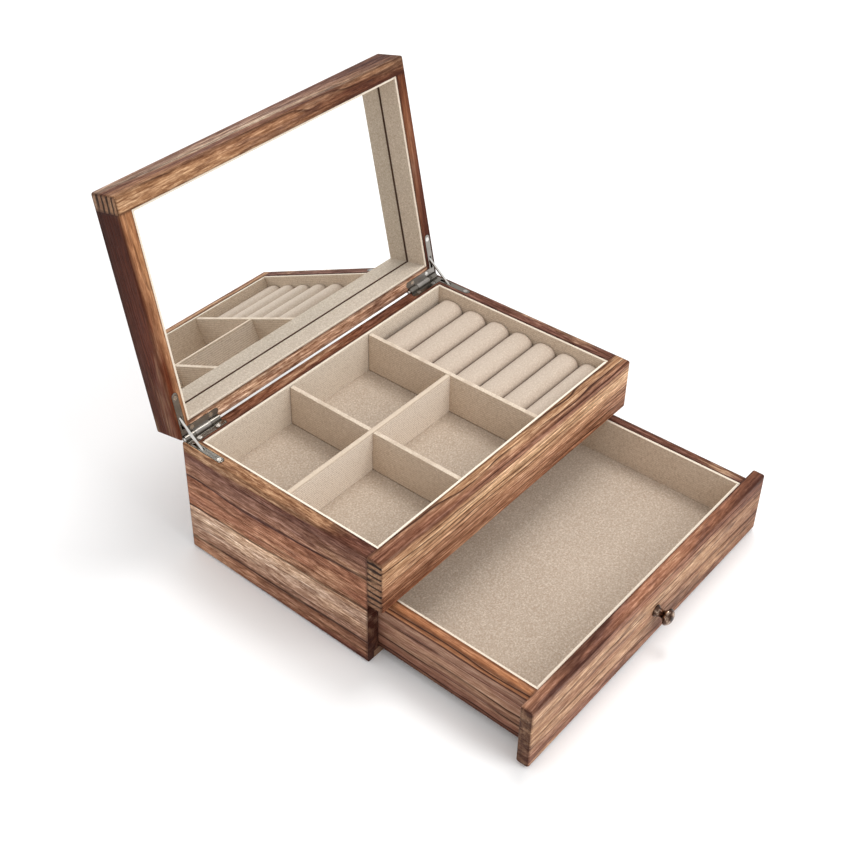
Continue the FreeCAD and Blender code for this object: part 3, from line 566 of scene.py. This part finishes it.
# Mirror. A sheet of silvered glass with a faint haze, lying under the lid's panel and held there by the
# lining boards around it.
mirror, tree, skin = start_material("silvered_glass")
haze = cloud(tree, piece_place(tree, "mirror"), (14, 14, 14), detail=2.0)
dull_silver = shade(246, 248, 248)
clear_silver = shade(250, 251, 251)
colour = colour_steps(tree, haze, [(0.3, dull_silver), (0.7, clear_silver)])
tree.links.new(colour, skin.inputs["Base Color"])
skin.inputs["Metallic"].default_value = 1.0
skin.inputs["Roughness"].default_value = 0.01
finish_with("mirror", mirror)

# Lid lining. Four card boards wrapped in the same linen and glued inside the lid's bars, where they frame the
# mirror. A pale line along the rim edge is partly the fold and partly painted highlight. A dark line of painted
# shadow runs where they meet the glass, and the back board, which faces up with the lid open, is painted darker as
# painted shade.
lid_tone = (198, 181, 161)
shaded_lid_back_tone = (188, 175, 159)
rim = shut_box("lid_lining_left")[0].z
glass = shut_box("lid_lining_left")[1].z
for node, share in (("left", 0.6), ("front", 0.6), ("right", 0.3), ("back", 0.25)):
    node = "lid_lining_" + node
    tone = shaded_lid_back_tone if node == "lid_lining_back" else lid_tone
    cloth = linen(node + "_linen", node, tone, ribs=0.15)
    edge_line(cloth, node, 2, rim + 0.0008, rim + 0.0002, fold_and_highlight_tone, share)
    edge_line(cloth, node, 2, glass - 0.0007, glass - 0.0004, painted_crease_shade, 0.95)
    finish_with(node, cloth)
    soften(node, board_rounding)

# Hinges, screws and stays. Stamped and plated steel: an angled leaf on the case and one on the lid, a pin
# through their knuckles, and a flat stay with a T-head at each end that slides in both leaves.


def plated_steel(name, tone, rough):
    """Plated steel with fine rolling marks and a few dull spots."""
    material, tree, skin = start_material(name)
    place = put(tree, "TexCoord").outputs["Object"]
    marks = cloud(tree, place, (900, 60, 900), detail=2.0)
    spots = cloud(tree, place, (160, 160, 160), detail=3.0)
    duller = [part * 0.94 for part in tone]
    colour = colour_steps(tree, spots, [(0.35, shade(*duller)), (0.6, shade(*tone))])
    tree.links.new(colour, skin.inputs["Base Color"])
    tree.links.new(spread(tree, marks, 0.3, 0.7, rough - 0.05, rough + 0.05), skin.inputs["Roughness"])
    relief = put(tree, "Bump", {"Height": marks, "Strength": 0.05, "Distance": 0.0001})
    tree.links.new(relief.outputs[0], skin.inputs["Normal"])
    skin.inputs["Metallic"].default_value = 1.0
    return material


leaf_rounding = 0.00012
stay_rounding = 0.0002
# The same plated steel is set in several tones by how each part catches the light: darker on the case leaves and
# case screws as painted shade, and lighter on the pins, the lid screws and the knob's screw as painted highlight.
shaded_base_steel = plated_steel("base_nickel_shaded", (122, 117, 110), 0.16)
lid_steel = plated_steel("lid_nickel", (152, 147, 141), 0.34)
stay_steel = plated_steel("stay_nickel", (214, 211, 206), 0.20)
highlight_steel = plated_steel("bright_nickel_highlight", (222, 219, 214), 0.20)
for side in ("left", "right"):
    for half, steel in (("base", shaded_base_steel), ("lid", lid_steel)):
        leaf = side + "_" + half + "_hinge_leaf"
        finish_with(leaf, steel)
        soften(leaf, leaf_rounding)
    finish_with(side + "_hinge_pin", highlight_steel)
    finish_with(side + "_stay", stay_steel)
    soften(side + "_stay", stay_rounding)
shaded_screw_steel = plated_steel("screw_nickel_shaded", (176, 172, 166), 0.30)
finish_with("base_hinge_screws", shaded_screw_steel)
finish_with("lid_hinge_screws", highlight_steel)

# Drawer box. A front as wide as the case, two sides, a back between them and a thin plywood bottom in
# grooves. The boards are torched like the case and glued together.
front_bands = [
    (0.00, shade(142, 96, 78)), (0.15, shade(169, 125, 101)), (0.35, shade(200, 159, 125)),
    (0.50, shade(163, 119, 92)), (0.70, shade(201, 162, 129)), (0.90, shade(165, 119, 93)),
    (0.96, shade(148, 100, 79)), (1.00, shade(160, 110, 84)),
]
drawer_bands = [
    (0.00, shade(88, 52, 39)), (0.22, shade(133, 91, 72)), (0.30, shade(146, 106, 86)),
    (0.308, shade(50, 26, 20)), (0.32, shade(109, 70, 55)), (0.52, shade(136, 94, 77)),
    (0.66, shade(153, 113, 93)), (0.668, shade(53, 28, 22)), (0.68, shade(118, 78, 62)),
    (0.80, shade(165, 128, 106)), (0.85, shade(162, 122, 100)), (0.865, shade(76, 45, 33)),
    (0.885, shade(83, 49, 35)), (0.905, shade(166, 110, 73)), (1.00, shade(171, 115, 78)),
]
torched_wood("drawer_front", "X", (-0.10, 0.012), front_bands, growth=0.0070, fall=0.045, lines=0.7,
             streaks=0.22, torch=0.6, brush=0.45, ends=0.3, end_burn=0.85, far_end=0.7, near_end=0.3,
             seed=21.0)
torched_wood("drawer_left_side", "Y", (-0.12, 0.0), drawer_bands, growth=0.0070, fall=0.015, lines=0.95,
             streaks=0.3, torch=0.25, brush=0.35, seed=23.0)
right_side_bands = [(0.0, shade(96, 58, 44)), (0.5, shade(140, 97, 78)), (0.84, shade(128, 86, 67)),
                    (0.9, shade(96, 60, 46)), (1.0, shade(104, 66, 50))]
torched_wood("drawer_right_side", "Y", (-0.12, 0.0), right_side_bands, growth=0.0062, fall=0.02,
             seed=25.0)
torched_wood("drawer_back", "X", (-0.12, 0.0), drawer_bands, growth=0.005, fall=0.02, seed=27.0)
bare_plywood("drawer_bottom")

# Drawer lining. The same linen on card as the tray, glued to the drawer's boards and floor, with a pale line along
# the top edges that is partly the fold and partly painted highlight. The back board is painted lighter and the
# floor darker, as painted light and painted shade.
drawer_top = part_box("drawer_lining_left")[1].z
for node in ("left", "right", "front", "back"):
    node = "drawer_lining_" + node
    tone = painted_lit_tone if node == "drawer_lining_back" else board_tone
    cloth = linen(node + "_linen", node, tone, ribs=0.2)
    edge_line(cloth, node, 2, drawer_top - 0.0004, drawer_top - 0.0001, fold_and_highlight_tone, 0.55)
    finish_with(node, cloth)
    soften(node, board_rounding)
finish_with("drawer_floor_lining", linen("drawer_floor_linen", "drawer_floor_lining", shaded_floor_tone))

# Knob. Turned brass, darkened to an antique bronze whose colour is mottled by noise, from dark patina to pale
# spots that are partly rubbed metal and partly painted highlight. It is held by a screw from inside the drawer
# front.
bronze, tree, skin = start_material("antique_bronze")
place = put(tree, "TexCoord").outputs["Object"]
patina = cloud(tree, place, (260, 260, 260), detail=4.0)
patina_and_highlight_steps = [(0.35, shade(40, 29, 24)), (0.52, shade(90, 68, 56)), (0.66, shade(196, 172, 152))]
colour = colour_steps(tree, patina, patina_and_highlight_steps)
tree.links.new(colour, skin.inputs["Base Color"])
tree.links.new(spread(tree, patina, 0.3, 0.7, 0.34, 0.18), skin.inputs["Roughness"])
skin.inputs["Metallic"].default_value = 1.0
knob_low, knob_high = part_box("drawer_knob")
knob_profile = [
    (0.0000, 0.0), (0.0038, 0.0), (0.0040, 0.0002), (0.0040, 0.0008), (0.0038, 0.0011), (0.0034, 0.0015),
    (0.0030, 0.0021), (0.0027, 0.0031), (0.0025, 0.0043), (0.0026, 0.0052), (0.0030, 0.0060),
    (0.0038, 0.0068), (0.0047, 0.0074), (0.0054, 0.0078), (0.0057, 0.0083), (0.0057, 0.0088),
    (0.0055, 0.0092), (0.0052, 0.0094), (0.0050, 0.0096), (0.0050, 0.0099), (0.0047, 0.0103),
    (0.0042, 0.0107), (0.0035, 0.0112), (0.0026, 0.0115), (0.0014, 0.0117), (0.0000, 0.0118),
]
turning = bmesh.new()
rings = []
sides = 48
for radius, reach in knob_profile:
    centre = Vector(((knob_low.x + knob_high.x) / 2, knob_high.y - reach,
                     (knob_low.z + knob_high.z) / 2))
    if radius == 0:
        rings.append([turning.verts.new(centre)])
        continue
    ring = []
    for step in range(sides):
        angle = 2 * math.pi * step / sides
        rim_place = Vector((radius * math.cos(angle), 0, radius * math.sin(angle)))
        ring.append(turning.verts.new(centre + rim_place))
    rings.append(ring)
for inner, outer in zip(rings, rings[1:]):
    for step in range(sides):
        after = (step + 1) % sides
        corners = [inner[step % len(inner)], outer[step % len(outer)],
                   outer[after % len(outer)], inner[after % len(inner)]]
        turning.faces.new(list(dict.fromkeys(corners)))
knob = add_piece("turned_knob", turning, bronze)
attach(knob, "drawer")
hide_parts("drawer_knob")
finish_with("knob_screw", highlight_steel)

# Table, light and camera. A white table in a white room, with one lamp in front, which is kept out of
# the mirror, and one overhead on the right. The table glows a little more further out, so that it looks
# white to its far edge.


def seen_directly(tree):
    """1 where a ray comes straight from the camera, a mirror or glass, and 0 for stray light."""
    path = put(tree, "LightPath").outputs
    seen = work_out(tree, "MAXIMUM", path["Is Camera Ray"], path["Is Glossy Ray"])
    return work_out(tree, "MAXIMUM", seen, path["Is Transmission Ray"])


table_half = 4.0
table_height = -0.0004
near_table = 0.45
far_table = 1.3
near_glow = 0.03
far_glow = 0.20
room_light = 0.84
seen_light = 1.0
table = bmesh.new()
bmesh.ops.create_grid(table, x_segments=1, y_segments=1, size=table_half)
mesh = bpy.data.meshes.new("table_top")
table.to_mesh(mesh)
table.free()
top = bpy.data.objects.new("table_top", mesh)
top.location.z = table_height
bpy.context.scene.collection.objects.link(top)
white, tree, skin = start_material("table_white")
skin.inputs["Base Color"].default_value = (0.97, 0.97, 0.97, 1)
skin.inputs["Roughness"].default_value = 0.55
skin.inputs["Emission Color"].default_value = (1, 1, 1, 1)
outward = work_out_vector(tree, "LENGTH", put(tree, "TexCoord").outputs["Object"])
glow = spread(tree, outward, near_table, far_table, near_glow, far_glow)
glow = work_out(tree, "MULTIPLY", seen_directly(tree), glow)
tree.links.new(glow, skin.inputs["Emission Strength"])
mesh.materials.append(white)

world = bpy.context.scene.world or bpy.data.worlds.new("room")
bpy.context.scene.world = world
world.use_nodes = True
tree = world.node_tree
tree.nodes.clear()
room = put(tree, "Background", {"Color": (1, 1, 1, 1), "Strength": room_light})
shown = put(tree, "Background", {"Color": (1, 1, 1, 1), "Strength": seen_light})
mixed = put(tree, "MixShader", {0: seen_directly(tree), 1: room.outputs[0], 2: shown.outputs[0]})
put(tree, "OutputWorld", {"Surface": mixed.outputs[0]})

middle = Vector((0, -0.03, 0.05))
for name, spot, size, power in (("front_lamp", (0.08, -1.25, 1.00), 0.9, 8),
                                ("right_lamp", (0.50, 0.04, 1.52), 0.6, 8)):
    lamp = bpy.data.lights.new(name, "AREA")
    lamp.shape = "DISK"
    lamp.size = size
    lamp.energy = power
    stand = bpy.data.objects.new(name, lamp)
    stand.location = spot
    stand.visible_glossy = name == "right_lamp"
    stand.rotation_euler = (middle - stand.location).to_track_quat("-Z", "Y").to_euler()
    bpy.context.scene.collection.objects.link(stand)

lens = bpy.data.cameras.new("view")
lens.sensor_width = 36
lens.lens = 57.986
lens.shift_x = 0.0961
lens.shift_y = -0.0776
camera = bpy.data.objects.new("view", lens)
right = Vector((0.67076, -0.74138, -0.02075))
up = Vector((0.44883, 0.38349, 0.80715))
forward = Vector((0.59045, 0.55072, -0.58999))
camera_place = Vector((-0.54640, -0.44389, 0.64068))
turn = Matrix((right, up, -forward)).transposed().to_4x4()
camera.matrix_world = Matrix.Translation(camera_place) @ turn
bpy.context.scene.collection.objects.link(camera)
bpy.context.scene.camera = camera
bpy.context.scene.view_settings.view_transform = "Standard"
